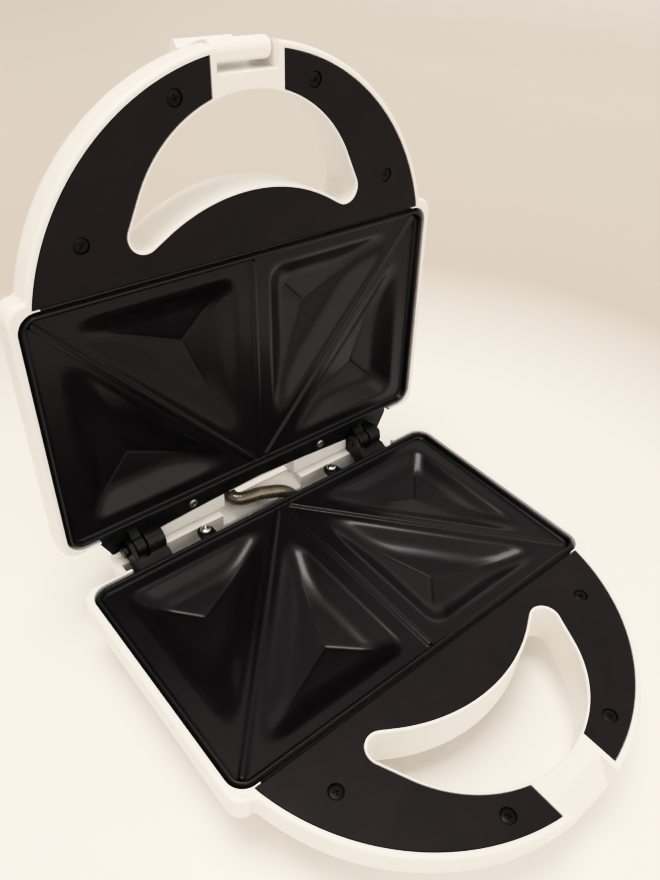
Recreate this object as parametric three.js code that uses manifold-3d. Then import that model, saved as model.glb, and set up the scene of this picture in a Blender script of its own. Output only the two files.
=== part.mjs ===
// A four-pocket sandwich toaster, standing open: a base and a lid on a rear hinge, each a white shell
// with a black cast plate, a crescent-shaped handle opening and a black handle cover.
// Millimetres, +Z up, +X to the right along the hinge, the handles towards -Y.
//
// Both halves are drawn in one "half frame": x to the right, f forward from the plate's back edge
// towards the handle, n out of the flat pads of the cooking face. The lid is the base turned over.

import * as THREE from "three";
import { mergeVertices } from "three/addons/utils/BufferGeometryUtils.js";
import Module from "manifold-3d";

const wasm = await Module();
wasm.setup();

// Driving dimensions
const PAD_HEIGHT = 44; // the lower plate's pads above the table
const PAD_GAP = 7; // between the two plates' pads when shut
const OPEN_ANGLE = 94.7; // lid angle from shut, degrees
const HINGE_BACK = 15.5; // hinge axis behind the plate's back edge
const FRAME_Y = 74.83; // puts the origin under the middle of the open toaster
const GAP = 0.3; // between pieces that touch

const HANDLE = { f: 106, r: 119.5 }; // centre and radius of the handle's outer edge
const BODY = { half: 125, front: 136, back: -4, corner: 8.5 };
const LIP_TOP = 3.3; // top of the shell's lip
const HANDLE_FLOOR = -22;
const SHELL_FLOOR = -40;
const WALL = 2.8;

const PLATE = { half: 121, front: 131.3, back: -1.5, corner: 9, flange: 3.2, rim: 3.3, rimWidth: 3.4 };
const CELL = { half: 119, front: 130 };
const POCKET = { side: 13, back: 10, middle: 11, front: 10, diagonal: 6, wall: 12, floor: -7.6, apex: -9.8 };
const RIDGE = { width: 4.6, top: 2.2, height: 1.3 };

const COVER = { r: 116.2, back: 132.6, bottom: 0.7, top: 3.1, ledge: 2.2 };
const BLOCK_HALF = 19.6; // latch block between the two ends of the cover
const HOLE = { f: 140.8, r: 66.2, lobeX: 58.6, lobeF: 152.4, lobeR: 8.4, innerF: 67.5, innerR: 94.5, lip: 1.5 };
const COVER_SCREWS = [[-87.5, 154.5], [-37.5, 206.3], [37.5, 206.3], [87.5, 154.5]];
const PLATE_SCREWS = [[-47, -7.5], [47, -7.5]];

const HUMP = { half: 98.5, baseBack: -28, lidBack: -22.5, deck: -5.6, skirt: -15.8 };
const NOTCH_HALF = 29.5; // opening in the deck for the wiring conduit
const AXIS_N = PAD_GAP / 2; // hinge axis above the pads
const KNUCKLE = { lid: 6.2, base: 7, ear: 5.5, bore: 2.5, pin: 2.2 };
// Along x: the base's outer ear, the lid's knuckle and the base's knuckle of each hinge, and its pin
const HINGES = {
  left: { ear: [-91.2, -88.8], lid: [-88.2, -82.3], base: [-81.7, -71.2], pin: [-91.8, -69.6], head: [-94.6, -91.5] },
  right: { ear: [70.6, 72.8], lid: [73.4, 81.2], base: [81.8, 90.5], pin: [69.8, 91.2], head: [90.8, 93.8] },
};

const LATCH = { f: 220.8, n: -5.3, barrel: 4.9, half: 15.7, notchHalf: 16.5, bore: 1.8, pin: 1.5, floor: 213 };
const FEET = [[-74, 26], [-74, 106], [74, 106], [74, 26]];
const GLAND = { x: 62, n: -20, hole: 5.3 };
const LAMPS = [-16, 16];
const LAMP_F = 92;

// Centre line of the wiring conduit from inside the lid to inside the base, as x, f, n of the base
const CONDUIT_R = 4.5;
const CONDUIT = [
  [-24, -43, 19], [-21.5, -38, 12.8], [-18.8, -33, 7.6], [-16.8, -29, 4], [-17.4, -25, 1.9], [-17.9, -21, 0.9],
  [-15.4, -17.9, 0.4], [-10.5, -16, 0.2], [-5, -14.2, 0], [1.5, -12, -0.4], [8, -9.8, -1.6], [13.2, -8, -4.6],
  [16.6, -7, -9.2], [18.4, -6.7, -14.6], [19.2, -6.6, -20.5], [19.2, -6.6, -27],
];

// Colours and finishes
const finish = (color, roughness, metalness = 0) => () =>
  new THREE.MeshStandardMaterial({ color, roughness, metalness });
const FINISH = {
  shell: finish(0xf1ede4, 0.35),
  cast: finish(0x1b1a1a, 0.28, 0.2),
  cover: finish(0x2b2726, 0.55),
  blackSteel: finish(0x202022, 0.4, 0.6),
  zinc: finish(0xb9b9b4, 0.3, 1),
  steel: finish(0x8b8a86, 0.35, 1),
  sheath: finish(0x55524e, 0.5, 0.8),
  rubber: finish(0x2a2a2a, 0.9),
  ceramic: finish(0xe6e0d2, 0.6),
  braid: finish(0x7b6a58, 0.7),
  redLens: finish(0xb51a14, 0.15),
  greenLens: finish(0x2f9a3c, 0.15),
  glass: finish(0xd9e2e4, 0.05),
};

// ---------------------------------------------------------------- solids

const rad = (degrees) => (degrees * Math.PI) / 180;

// A three.js geometry as a manifold solid.
function solid(geometry) {
  const bare = geometry.index ? geometry.toNonIndexed() : geometry.clone();
  for (const name of Object.keys(bare.attributes)) {
    if (name !== "position") bare.deleteAttribute(name);
  }
  const merged = mergeVertices(bare, 1e-4);
  return new wasm.Manifold(
    new wasm.Mesh({
      numProp: 3,
      vertProperties: Float32Array.from(merged.attributes.position.array),
      triVerts: Uint32Array.from(merged.index.array),
    }),
  );
}

// A manifold solid as a three.js geometry.
function geometryOf(body) {
  const made = body.simplify(0.02).getMesh();
  const geometry = new THREE.BufferGeometry();
  geometry.setAttribute("position", new THREE.BufferAttribute(made.vertProperties, 3));
  geometry.setIndex(new THREE.BufferAttribute(made.triVerts, 1));
  const flat = geometry.toNonIndexed();
  flat.computeVertexNormals();
  return flat;
}

// The lid is turned over, so a piece drawn at x lies at -x there unless it is flipped.
const flipX = (body) => body.mirror([1, 0, 0]);
const join = (...bodies) => bodies.reduce((sum, body) => sum.add(body));
const cut = (body, ...tools) => tools.reduce((rest, tool) => rest.subtract(tool), body);

// Points of an arc about (x, f): 0 degrees points forward, 90 degrees to the right.
function arc(x, f, r, from, to, steps) {
  return Array.from({ length: steps + 1 }, (_, i) => {
    const a = rad(from + ((to - from) * i) / steps);
    return [x + r * Math.sin(a), f + r * Math.cos(a)];
  });
}

// A prism of an outline of [x, f] points between two heights.
function prism(outline, low, high) {
  const shape = new THREE.Shape(outline.map(([x, f]) => new THREE.Vector2(x, -f)));
  const geometry = new THREE.ExtrudeGeometry(shape, { depth: high - low, bevelEnabled: false });
  return solid(geometry.translate(0, 0, low));
}

const rectangle = (x0, x1, f0, f1) => [[x0, f0], [x1, f0], [x1, f1], [x0, f1]];
const box = (x0, x1, f0, f1, low, high) => prism(rectangle(x0, x1, f0, f1), low, high);
const post = (x, f, r, low, high, sides = 20) => prism(arc(x, f, r, 0, 360 - 360 / sides, sides - 1), low, high);

// A prism of an outline of [f, n] points, running along x.
function bar(outline, x0, x1) {
  const shape = new THREE.Shape(outline.map(([f, n]) => new THREE.Vector2(-f, n)));
  const geometry = new THREE.ExtrudeGeometry(shape, { depth: x1 - x0, bevelEnabled: false });
  geometry.rotateX(Math.PI / 2).rotateZ(Math.PI / 2);
  return solid(geometry.translate(x0, 0, 0));
}

// A rod along x through (f, n).
const rod = (f, n, r, x0, x1, sides = 24) => bar(arc(f, n, r, 0, 360 - 360 / sides, sides - 1), x0, x1);

// A solid through level outlines: each level is [height, outline], and all have the same number of points.
function loft(levels) {
  const count = levels[0][1].length;
  const points = levels.flatMap(([n, outline]) => outline.map(([x, f]) => [x, -f, n]));
  const ring = levels[0][1].map(([x, f]) => new THREE.Vector2(x, -f));
  const turn = THREE.ShapeUtils.isClockWise(ring) ? -1 : 1;
  const rise = Math.sign(levels.at(-1)[0] - levels[0][0]);
  const faces = [];
  const face = (a, b, c) => faces.push(turn * rise > 0 ? [a, b, c] : [a, c, b]);
  for (let k = 0; k + 1 < levels.length; k++) {
    for (let i = 0; i < count; i++) {
      const j = (i + 1) % count;
      const [a, b, c, d] = [k * count + i, k * count + j, (k + 1) * count + j, (k + 1) * count + i];
      face(a, b, c);
      face(a, c, d);
    }
  }
  const last = (levels.length - 1) * count;
  const end = levels.at(-1)[1].map(([x, f]) => new THREE.Vector2(x, -f));
  const cap = (a, b, c) => faces.push(rise > 0 ? [a, b, c] : [a, c, b]);
  for (const [a, b, c] of THREE.ShapeUtils.triangulateShape(ring, [])) cap(a, c, b);
  for (const [a, b, c] of THREE.ShapeUtils.triangulateShape(end, [])) cap(last + a, last + b, last + c);
  const geometry = new THREE.BufferGeometry();
  const flat = faces.flat().flatMap((i) => points[i]);
  geometry.setAttribute("position", new THREE.Float32BufferAttribute(flat, 3));
  return solid(geometry);
}

// ---------------------------------------------------------------- outlines

// The shell's outer edge, drawn in by inset: the handle's arc, its shoulders and the square body.
function shellOutline(inset) {
  const r = HANDLE.r - inset;
  const front = BODY.front - inset;
  const half = BODY.half - inset;
  const corner = Math.max(BODY.corner - inset * 0.8, 2);
  const reach = (Math.acos((front - HANDLE.f) / r) * 180) / Math.PI;
  return [
    ...arc(0, HANDLE.f, r, -reach, reach, 26),
    ...arc(half - corner, front - corner, corner, 0, 90, 4),
    ...arc(half - corner, BODY.back + inset + corner, corner, 90, 180, 4),
    ...arc(-half + corner, BODY.back + inset + corner, corner, 180, 270, 4),
    ...arc(-half + corner, front - corner, corner, 270, 360, 4),
  ];
}

// A rectangle with round corners.
function roundRectangle(half, back, front, corner, steps = 4) {
  return [
    ...arc(half - corner, front - corner, corner, 0, 90, steps),
    ...arc(half - corner, back + corner, corner, 90, 180, steps),
    ...arc(-half + corner, back + corner, corner, 180, 270, steps),
    ...arc(-half + corner, front - corner, corner, 270, 360, steps),
  ];
}

const plateOutline = (grow) =>
  roundRectangle(PLATE.half + grow, PLATE.back - grow, PLATE.front + grow, PLATE.corner + grow);

// The crescent finger opening, drawn in by inset.
function crescent(inset) {
  const lobe = HOLE.lobeR - inset;
  return [
    ...arc(0, HOLE.f, HOLE.r - inset, -62, 62, 14),
    ...arc(HOLE.lobeX, HOLE.lobeF, lobe, 66, 212, 5),
    ...arc(0, HOLE.innerF, HOLE.innerR + inset, 31, -31, 10),
    ...arc(-HOLE.lobeX, HOLE.lobeF, lobe, 148, 294, 5),
  ];
}

// The handle cover's outer edge, drawn in by inset.
function coverOutline(inset) {
  const r = COVER.r - inset;
  const reach = (Math.acos((COVER.back + inset - HANDLE.f) / r) * 180) / Math.PI;
  return arc(0, HANDLE.f, r, -reach, reach, 26);
}

// ---------------------------------------------------------------- cooking plate

// The corner points of a triangle whose edges are moved in, edge i running from corner i to the next.
function insetTriangle(corners, insets) {
  const lines = corners.map(([x, f], i) => {
    const [x2, f2] = corners[(i + 1) % 3];
    const [x3, f3] = corners[(i + 2) % 3];
    const length = Math.hypot(x2 - x, f2 - f);
    const side = Math.sign((x2 - x) * (f3 - f) - (f2 - f) * (x3 - x));
    const a = (-(f2 - f) / length) * side;
    const b = ((x2 - x) / length) * side;
    return [a, b, a * x + b * f + insets[i]];
  });
  return lines.map(([a, b, c], i) => {
    const [d, e, g] = lines[(i + 2) % 3];
    const det = a * e - b * d;
    return [(c * e - b * g) / det, (a * g - c * d) / det];
  });
}

// A triangle with its corners rounded by quadratic curves that start at reach from each corner.
function softTriangle(corners, reach, steps = 4) {
  return corners.flatMap(([x, f], i) => {
    const before = corners[(i + 2) % 3];
    const after = corners[(i + 1) % 3];
    const towards = ([px, pf]) => {
      const length = Math.hypot(px - x, pf - f);
      return [x + ((px - x) * reach) / length, f + ((pf - f) * reach) / length];
    };
    const [p, q] = [towards(before), towards(after)];
    return Array.from({ length: steps + 1 }, (_, k) => {
      const t = k / steps;
      const mix = (u, v, w) => (1 - t) ** 2 * u + 2 * t * (1 - t) * v + t ** 2 * w;
      return [mix(p[0], x, q[0]), mix(p[1], f, q[1])];
    });
  });
}

function incentre(corners) {
  const sides = corners.map((_, i) => {
    const [a, b] = [corners[(i + 1) % 3], corners[(i + 2) % 3]];
    return Math.hypot(a[0] - b[0], a[1] - b[1]);
  });
  const around = sides.reduce((sum, side) => sum + side);
  return [0, 1].map((k) => corners.reduce((sum, corner, i) => sum + corner[k] * sides[i], 0) / around);
}

// The two triangles of one side's cell, as corners and the margin left along each edge.
function pocketTriangles(side) {
  const [middleBack, outerBack] = [[0, 0], [side * CELL.half, 0]];
  const [outerFront, middleFront] = [[side * CELL.half, CELL.front], [0, CELL.front]];
  return [
    [[middleBack, outerBack, outerFront], [POCKET.back, POCKET.side, POCKET.diagonal]],
    [[middleBack, outerFront, middleFront], [POCKET.diagonal, POCKET.front, POCKET.middle]],
  ];
}

// One pocket, grown outwards and downwards by thickness, from height top to its apex.
function pocket([corners, margins], thickness, top) {
  const mouth = insetTriangle(corners, margins.map((m) => m - thickness));
  const floor = insetTriangle(corners, margins.map((m) => m - thickness + POCKET.wall));
  const centre = incentre(floor);
  const speck = floor.map(([x, f]) => [centre[0] + (x - centre[0]) * 0.02, centre[1] + (f - centre[1]) * 0.02]);
  return loft([
    [POCKET.apex - thickness, softTriangle(speck, 0.2)],
    [POCKET.floor - thickness, softTriangle(floor, 5)],
    [0, softTriangle(mouth, 12)],
    [top, softTriangle(mouth, 12)],
  ]);
}

// A sealing ridge on the pads, from one [x, f] point to another.
function ridge([x0, f0], [x1, f1]) {
  const length = Math.hypot(x1 - x0, f1 - f0);
  const [w, t] = [RIDGE.width / 2, RIDGE.top / 2];
  const section = [[-w, -0.6], [w, -0.6], [w, 0], [t, RIDGE.height], [-t, RIDGE.height], [-w, 0]];
  const shape = new THREE.Shape(section.map(([x, y]) => new THREE.Vector2(x, y)));
  const geometry = new THREE.ExtrudeGeometry(shape, { depth: length, bevelEnabled: false });
  geometry.rotateX(Math.PI / 2); // the section stands up and the ridge runs along -Y, which is forward
  geometry.rotateZ(Math.atan2(x1 - x0, f1 - f0)).translate(x0, -f0, 0);
  return solid(geometry);
}

// The cast plate: flange, raised rim, four pockets and three ridges.
function plate(tabs) {
  const rimInside = plateOutline(-PLATE.rimWidth);
  const flange = prism(plateOutline(0), -PLATE.flange, 0);
  const rim = cut(prism(plateOutline(-1.1), -1, PLATE.rim), prism(rimInside, 0, PLATE.rim + 1));
  const triangles = [-1, 1].flatMap(pocketTriangles);
  let body = join(flange, rim, ...triangles.map((t) => pocket(t, 2.5, -1)));
  for (const [x, f] of tabs) {
    body = join(body, box(x - 4.8, x + 4.8, f, 0, -PLATE.flange, -1), post(x, f, 4.8, -PLATE.flange, -1));
  }
  body = join(body, ridge([0, 4], [0, 126.5]));
  for (const side of [-1, 1]) body = join(body, ridge([side * 4.4, 4.8], [side * 112.5, 122.9]));
  body = cut(body, ...triangles.map((t) => pocket(t, 0, 4)));
  return cut(body, ...tabs.map(([x, f]) => post(x, f, 1.6 + GAP, -6, 1)));
}

// ---------------------------------------------------------------- shells

// The round-edged bowl of the body, drawn in by inset, with its floor lifted by lift.
function bowl(inset, lift) {
  const levels = [[-4, 0.3], [-11, 1.2], [-20, 6.5], [-30, 14], [-36, 21], [-40, 31]];
  return loft(
    levels.map(([n, draw]) => {
      const i = draw + inset;
      const raised = n + (n === SHELL_FLOOR ? lift : lift * 0.5);
      return [raised, roundRectangle(BODY.half - i, BODY.back + i * 0.8, BODY.front - i * 0.9, 8 + draw * 0.5)];
    }),
  );
}

// The flat D of lip and handle, down to the handle's floor.
function slab() {
  const levels = [[LIP_TOP, 0], [-8, 0.3], [-14, 2.2], [-19, 6.5], [HANDLE_FLOOR, 13]];
  return loft(levels.map(([n, draw]) => [n, shellOutline(draw)]));
}

// Everything the base's and the lid's shells share.
function shell(humpBack, humpTop) {
  const hump = prism(roundRectangle(HUMP.half, humpBack, 20, 5), -33, humpTop);
  const outside = join(slab(), bowl(0, 0), hump);
  const humpInside = box(-HUMP.half + WALL, HUMP.half - WALL, humpBack + WALL, 12, -31, 12);
  const chamber = cut(bowl(5, WALL), box(-130, 130, 133, 200, -50, 10));
  const plateSeat = prism(plateOutline(GAP), -PLATE.flange - GAP, LIP_TOP + 1);
  const coverSeat = cut(
    join(prism(coverOutline(-GAP), COVER.bottom - GAP, LIP_TOP + 1), box(-110, 110, 129, 134, COVER.bottom - GAP, 5)),
    prism(crescent(GAP - 0.1), -1, 6),
    box(-BLOCK_HALF + GAP, BLOCK_HALF - GAP, 195, 230, -1, 6),
  );
  const hollow = [[2, 0], [-12, 1.5], [-16, 4], [HANDLE_FLOOR + WALL, 9]];
  const handleInside = cut(
    loft(hollow.map(([n, draw]) => [n, coverOutline(COVER.ledge + draw)])),
    prism(crescent(-COVER.ledge), -30, 6),
    box(-BLOCK_HALF - COVER.ledge, BLOCK_HALF + COVER.ledge, 190, 230, -30, 6),
  );
  let body = cut(outside, humpInside, chamber, plateSeat, coverSeat, handleInside);
  for (const [x, f] of COVER_SCREWS) body = join(body, post(x, f, 4.2, HANDLE_FLOOR + 1, COVER.bottom - GAP, 14));
  body = cut(body, ...COVER_SCREWS.map(([x, f]) => post(x, f, 1.5 + GAP, -13, 4, 10)));
  return cut(body, prism(crescent(HOLE.lip), -50, 10));
}

// Clearance round both knuckles of each hinge.
const knuckleRoom = (r) =>
  Object.values(HINGES).map((h) => rod(-HINGE_BACK, AXIS_N, r, h.ear[0] - 1, h.base[1] + 1));

function baseShell() {
  const h = HUMP;
  const deck = cut(
    join(
      box(-h.half + 1, h.half - 1, h.baseBack + 1, h.skirt, h.deck - WALL, h.deck),
      box(-h.half + 1, h.half - 1, h.skirt - WALL, h.skirt, -12, h.deck),
    ),
    box(-NOTCH_HALF, NOTCH_HALF, h.skirt - 5.5, h.skirt + 1, -13, 0),
  );
  let body = join(shell(h.baseBack, h.deck), deck);
  for (const [x, f] of PLATE_SCREWS) body = join(body, post(x, f, 4.2, -32, -PLATE.flange - GAP, 12));
  body = cut(body, ...PLATE_SCREWS.map(([x, f]) => post(x, f, 1.6 + GAP, -18, 0, 10)));
  body = cut(body, ...FEET.map(([x, f]) => post(x, f, 2.4 + GAP, -45, -30, 12)));
  // The latch catches under a sloping lip in the middle of the handle's front edge.
  const slope = [
    [214.8, 6], [214.8, LIP_TOP], [224.2, -10], [224.2, -13], [219.5, -13.8], [219.5, -24], [240, -24], [240, 6],
  ];
  body = cut(body, bar(slope, -LATCH.notchHalf, LATCH.notchHalf));
  const inlet = rod(0, 0, GLAND.hole, 0, 20, 16).rotate([0, 0, 90]).translate([GLAND.x, 18, GLAND.n]);
  return cut(body, inlet);
}

function lidShell() {
  let body = shell(HUMP.lidBack, -0.8);
  for (const [x, f] of PLATE_SCREWS) body = join(body, post(x, f, 4.2, -32, -PLATE.flange - GAP, 12));
  body = cut(body, ...PLATE_SCREWS.map(([x, f]) => post(x, f, 1.6 + GAP, -18, 0, 10)));
  body = cut(body, ...knuckleRoom(9).map(flipX), prism(barOutline(GAP + 0.1), -PLATE.flange - GAP, 5));
  body = cut(body, box(-26, 26, HUMP.lidBack - 1, -12, -14, 0));
  body = cut(body, box(-LATCH.notchHalf, LATCH.notchHalf, LATCH.floor, 240, -40, 10));
  body = cut(body, rod(LATCH.f, LATCH.n, LATCH.pin + GAP, -18.5, 18.5, 12));
  return cut(body, ...LAMPS.map((x) => post(x, LAMP_F, 4.3, -45, -30, 16)));
}

// ---------------------------------------------------------------- covers, screws and feet

function handleCover() {
  let body = prism(coverOutline(0), COVER.bottom, COVER.top);
  body = cut(body, prism(crescent(-0.1), -1, 6), box(-BLOCK_HALF, BLOCK_HALF, 190, 230, -1, 6));
  for (const [x, f] of COVER_SCREWS) {
    body = cut(body, post(x, f, 3.9, COVER.top - 1.5, 6, 16), post(x, f, 1.5 + GAP, -1, 6, 10));
  }
  return body;
}

// A screw whose head has a cross recess, its head's underside at height seat.
function screw(headR, headHeight, shankR, length) {
  const shank = [[0, -length], [shankR, -length + 1], [shankR, 0]];
  const crown = [[headR, 0], [headR, headHeight * 0.4], [headR * 0.7, headHeight * 0.9], [0, headHeight]];
  const profile = [...shank, ...crown].map(([x, y]) => new THREE.Vector2(x, y));
  const head = solid(new THREE.LatheGeometry(profile, 10).rotateX(Math.PI / 2));
  const slot = (across, along) => box(-across, across, -along, along, headHeight * 0.45, headHeight + 1);
  return cut(head, slot(headR * 0.6, 0.4), slot(0.4, headR * 0.6));
}

function foot() {
  const profile = [[0, -44], [5.6, -44], [6.6, -43.2], [7, -40.3], [2.4, -40.3], [2.4, -37.6], [0, -37.6]];
  return solid(new THREE.LatheGeometry(profile.map(([x, y]) => new THREE.Vector2(x, y)), 20).rotateX(Math.PI / 2));
}

// ---------------------------------------------------------------- hinges

const barrel = ([x0, x1], r) => rod(-HINGE_BACK, AXIS_N, r, x0, x1);
const bore = ([x0, x1]) => rod(-HINGE_BACK, AXIS_N, KNUCKLE.bore, x0 - 1, x1 + 1, 14);

// The base's hinge bracket: an outer ear and a knuckle that hold the lid's knuckle between them, on a
// plate that goes down behind the cooking plate into the shell.
function hingeArm(hinge) {
  const [x0, x1] = [hinge.ear[0], hinge.base[1]];
  const ear = [[-20, 2], [-19.4, -5.2], [-15.2, -5.2], [-6.2, -11], [-5.5, 0.6], [-11.2, 6.4]];
  const leg = [[-18, -3.3], [-12, 2.5], [-5.5, 0.6], [-6.2, -9], [-14.2, -4.4]];
  const back = [[-7.4, 1.4], [-5.5, 0.8], [-2.2, -2], [-2.2, -24], [-6.2, -24], [-6.2, -6], [-7.4, -4]];
  const body = join(
    barrel(hinge.ear, KNUCKLE.ear),
    bar(ear, ...hinge.ear),
    barrel(hinge.base, KNUCKLE.base),
    bar(leg, ...hinge.base),
    bar(back, x0, x1),
    box(x0, x1, -6.2, 4, -26.5, -24),
  );
  return cut(body, bore(hinge.ear), bore(hinge.base));
}

// The outline of the lid's hinge bar, bowed along its back, grown all round.
function barOutline(grow) {
  const back = [[-98, -18], [-69, -14.3], [-35, -12.2], [0, -10.6], [35, -12.2], [69, -14.3], [98, -18]];
  const outline = [[-104, -1.8], [-104, -6.5], ...back, [104, -6.5], [104, -1.8]];
  return outline.map(([x, f]) => [x + Math.sign(x) * grow, f > -2 ? f + grow : f - grow]);
}

// The lid's hinge bar: a flat bar along the plate's back edge, with a knuckle at each end.
function hingeBar() {
  let body = prism(barOutline(0), -PLATE.flange, -1);
  for (const hinge of Object.values(HINGES)) {
    const arm = [[-19, -3.5], [-12, -3.2], [-6, -3.2], [-6, -1], [-10.4, 5], [-15.5, 9.4]];
    const room = (part, r) => rod(-HINGE_BACK, AXIS_N, r + 0.6, part[0] - 0.5, part[1] + 0.5);
    body = cut(body, room(hinge.base, KNUCKLE.base), room(hinge.ear, KNUCKLE.ear));
    body = join(body, barrel(hinge.lid, KNUCKLE.lid), bar(arm, ...hinge.lid));
  }
  const holes = PLATE_SCREWS.map(([x, f]) => post(x, f, 1.6 + GAP, -6, 1, 12));
  return cut(body, ...Object.values(HINGES).map((h) => bore(h.lid)), ...holes);
}

const hingePin = (hinge) =>
  join(
    rod(-HINGE_BACK, AXIS_N, KNUCKLE.pin, ...hinge.pin, 14),
    rod(-HINGE_BACK, AXIS_N, KNUCKLE.pin + 1.3, ...hinge.head, 14),
  );

// ---------------------------------------------------------------- latch

// The flip-over clip: a barrel on a pin and a springy arm with a catch at its end.
function latchClip() {
  const { f, n, barrel, half, bore: hole } = LATCH;
  const arm = [
    [4.8, 0], [2.6, -10], [-0.4, -18.5], [-1.2, -22.5], [-0.9, -25.6], [1.8, -26.6], [1.6, -28.4], [-0.5, -30.4],
    [-3.4, -31.3], [-5, -30.2], [-4.2, -27], [-3.8, -22], [-2.6, -17], [0.2, -9.5], [1.6, -3],
  ];
  const flap = arm.map(([across, along]) => [f + across, n + along]);
  const body = join(rod(f, n, barrel, -half, half, 28), bar(flap, -half, half));
  return cut(body, rod(f, n, hole, -half - 1, half + 1, 14));
}

// ---------------------------------------------------------------- inside

// A round tube along a curve through [x, f, n] points.
function tube(points, r, steps, sides = 8) {
  const curve = new THREE.CatmullRomCurve3(points.map(([x, f, n]) => new THREE.Vector3(x, -f, n)));
  const section = new THREE.Shape(
    Array.from({ length: sides }, (_, i) => {
      const a = (i / sides) * Math.PI * 2;
      return new THREE.Vector2(r * Math.cos(a), r * Math.sin(a));
    }),
  );
  return solid(new THREE.ExtrudeGeometry(section, { steps, extrudePath: curve, bevelEnabled: false }));
}

// The sheathed heating element, a loop under the pockets with both ends at the back.
function heatingElement() {
  const loop = [
    [-12, 6, -20], [-14, 14, -18], [-60, 18, -17], [-84, 22, -17], [-90, 40, -17], [-88, 92, -17], [-76, 106, -17],
    [0, 108, -17], [76, 106, -17], [88, 92, -17], [90, 40, -17], [84, 22, -17], [60, 18, -17], [14, 14, -18],
    [12, 6, -20],
  ];
  return tube(loop, 3, 44, 7);
}

function reflector() {
  const tray = prism(roundRectangle(96, 10, 116, 10), -27, -26);
  const rim = cut(prism(roundRectangle(96, 10, 116, 10), -26.5, -23), prism(roundRectangle(95, 11, 115, 9), -30, -20));
  return cut(join(tray, rim), box(-20, 20, 5, 13, -26, -20));
}

function thermostat() {
  const can = post(0, 62, 7, -11, -PLATE.flange - GAP, 20);
  const base = box(-5.5, 5.5, 55, 69, -15, -11);
  return join(can, base, box(-3, -1, 69, 73, -14, -13), box(1, 3, 69, 73, -14, -13));
}

function terminalBlock() {
  const ways = [-58, -48, -38];
  const body = box(-64, -32, -24, -13, -30.5, -20);
  return cut(body, ...ways.map((x) => post(x, -18.5, 2.2, -27, -19, 10)));
}

// The cord's inlet: a flanged bush in the base's rear wall.
function cordInlet() {
  const profile = [[3.6, 0], [5, 0], [5, 4.6], [7.6, 4.6], [7.6, 6.2], [5.6, 6.6], [4.9, 14], [3.6, 14], [3.6, 0]];
  const bush = new THREE.LatheGeometry(profile.map(([x, y]) => new THREE.Vector2(x, y)), 20);
  return solid(bush.translate(GLAND.x, 23.7, GLAND.n));
}

const thermalFuse = () => join(rod(-8, -14, 2.2, -20, -2, 12), rod(-8, -14, 0.6, -28, 6, 8));
const lampLens = (x) => join(post(x, LAMP_F, 4, -40.6, -36, 18), post(x, LAMP_F, 5.4, -41.6, -40.3, 22));
const neon = (x) => join(post(x, LAMP_F, 2.4, -35.6, -30, 12), post(x, LAMP_F, 0.6, -31, -28, 8));

// ---------------------------------------------------------------- assembly

const base = new THREE.Group();
base.position.set(0, FRAME_Y, PAD_HEIGHT);

// The lid's half frame is the base's turned over about Y, then swung open about the hinge axis.
const lid = new THREE.Group();
lid.rotation.y = Math.PI;
lid.position.set(0, -HINGE_BACK, PAD_GAP - AXIS_N);
const hingeAxis = new THREE.Group();
hingeAxis.position.set(0, FRAME_Y + HINGE_BACK, PAD_HEIGHT + AXIS_N);
hingeAxis.rotation.x = -rad(OPEN_ANGLE);
hingeAxis.add(lid);

// Adds a solid to a half as a named mesh.
function add(half, name, body, material) {
  const mesh = new THREE.Mesh(geometryOf(body), material());
  mesh.name = name;
  half.add(mesh);
}

add(base, "base_shell", baseShell(), FINISH.shell);
add(lid, "lid_shell", lidShell(), FINISH.shell);
add(base, "base_plate", plate(PLATE_SCREWS), FINISH.cast);
add(lid, "lid_plate", plate([]), FINISH.cast);
for (const [half, name] of [[base, "base"], [lid, "lid"]]) {
  add(half, `${name}_handle_cover`, handleCover(), FINISH.cover);
  COVER_SCREWS.forEach(([x, f], i) => {
    const body = screw(3.3, 1.1, 1.5, 10).translate([x, -f, COVER.top - 1.5 + GAP]);
    add(half, `${name}_cover_screw_${i + 1}`, body, FINISH.blackSteel);
  });
  PLATE_SCREWS.forEach(([x, f], i) => {
    const body = screw(3.4, 2.2, 1.6, 12).translate([x, -f, -1 + GAP]);
    add(half, `${name}_plate_screw_${i + 1}`, body, FINISH.zinc);
  });
  add(half, `${name}_heating_element`, heatingElement(), FINISH.sheath);
  add(half, `${name}_reflector`, reflector(), FINISH.steel);
}
add(lid, "lid_hinge_bar", flipX(hingeBar()), FINISH.blackSteel);
for (const [side, hinge] of Object.entries(HINGES)) {
  add(base, `hinge_arm_${side}`, hingeArm(hinge), FINISH.blackSteel);
  add(base, `hinge_pin_${side}`, hingePin(hinge), FINISH.steel);
}
FEET.forEach(([x, f], i) => add(base, `foot_${i + 1}`, foot().translate([x, -f, 0]), FINISH.rubber));
add(base, "thermostat", thermostat(), FINISH.steel);
add(base, "terminal_block", terminalBlock(), FINISH.ceramic);
add(base, "cord_inlet", cordInlet(), FINISH.rubber);
add(base, "wire_conduit", tube(CONDUIT, CONDUIT_R, 26, 8), FINISH.braid);
add(lid, "thermal_fuse", thermalFuse(), FINISH.zinc);
add(lid, "power_lamp_lens", lampLens(LAMPS[0]), FINISH.redLens);
add(lid, "ready_lamp_lens", lampLens(LAMPS[1]), FINISH.greenLens);
add(lid, "power_lamp_neon", neon(LAMPS[0]), FINISH.glass);
add(lid, "ready_lamp_neon", neon(LAMPS[1]), FINISH.glass);
add(lid, "latch_pin", rod(LATCH.f, LATCH.n, LATCH.pin, -18.2, 18.2, 12), FINISH.steel);
add(lid, "latch_clip", latchClip(), FINISH.shell);

const toaster = new THREE.Group();
toaster.add(base, hingeAxis);

export default toaster;
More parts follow.
